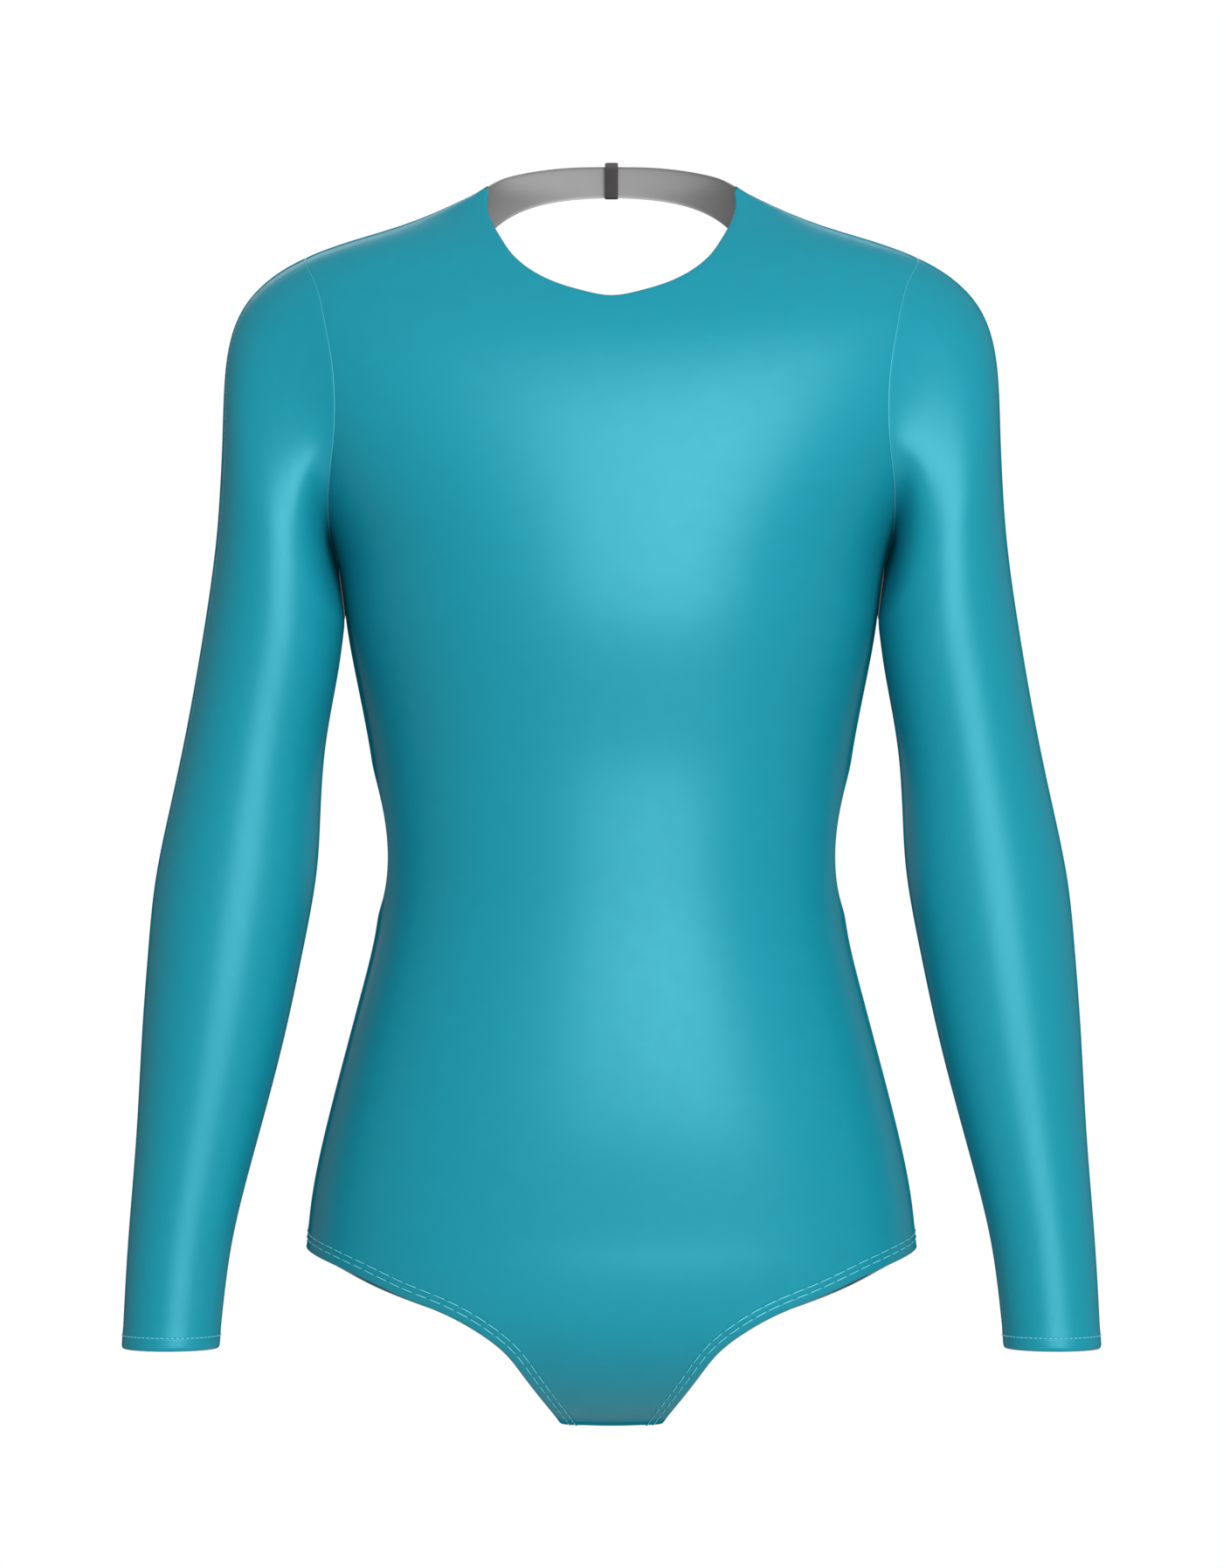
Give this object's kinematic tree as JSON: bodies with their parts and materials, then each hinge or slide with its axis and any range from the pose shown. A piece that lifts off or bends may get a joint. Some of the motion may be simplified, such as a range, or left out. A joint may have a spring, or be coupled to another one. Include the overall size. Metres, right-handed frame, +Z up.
{
  "type": "leotard",
  "caption": "Long-sleeved leotard in smooth, glossy teal stretch knit with a round neck, an open back that reaches round to the waist, a small tab behind the neck and high-cut legs.",
  "frame": {"origin": "midway between the two points where the neckline meets the shoulder seams", "axes": "+Z up the garment towards the neck, +X to the wearer's left, -Y out of the front"},
  "size_m": [0.5276, 0.2351, 0.6945],
  "materials": {
    "stretch_knit": "satin",
    "neck_tab": "matte"
  },
  "bodies": {
    "root": {"front": "stretch_knit", "back_left": "stretch_knit", "back_right": "stretch_knit", "seat": "stretch_knit", "sleeve_left": "stretch_knit", "sleeve_right": "stretch_knit", "neck_tab": "neck_tab"}
  },
  "joints": []
}
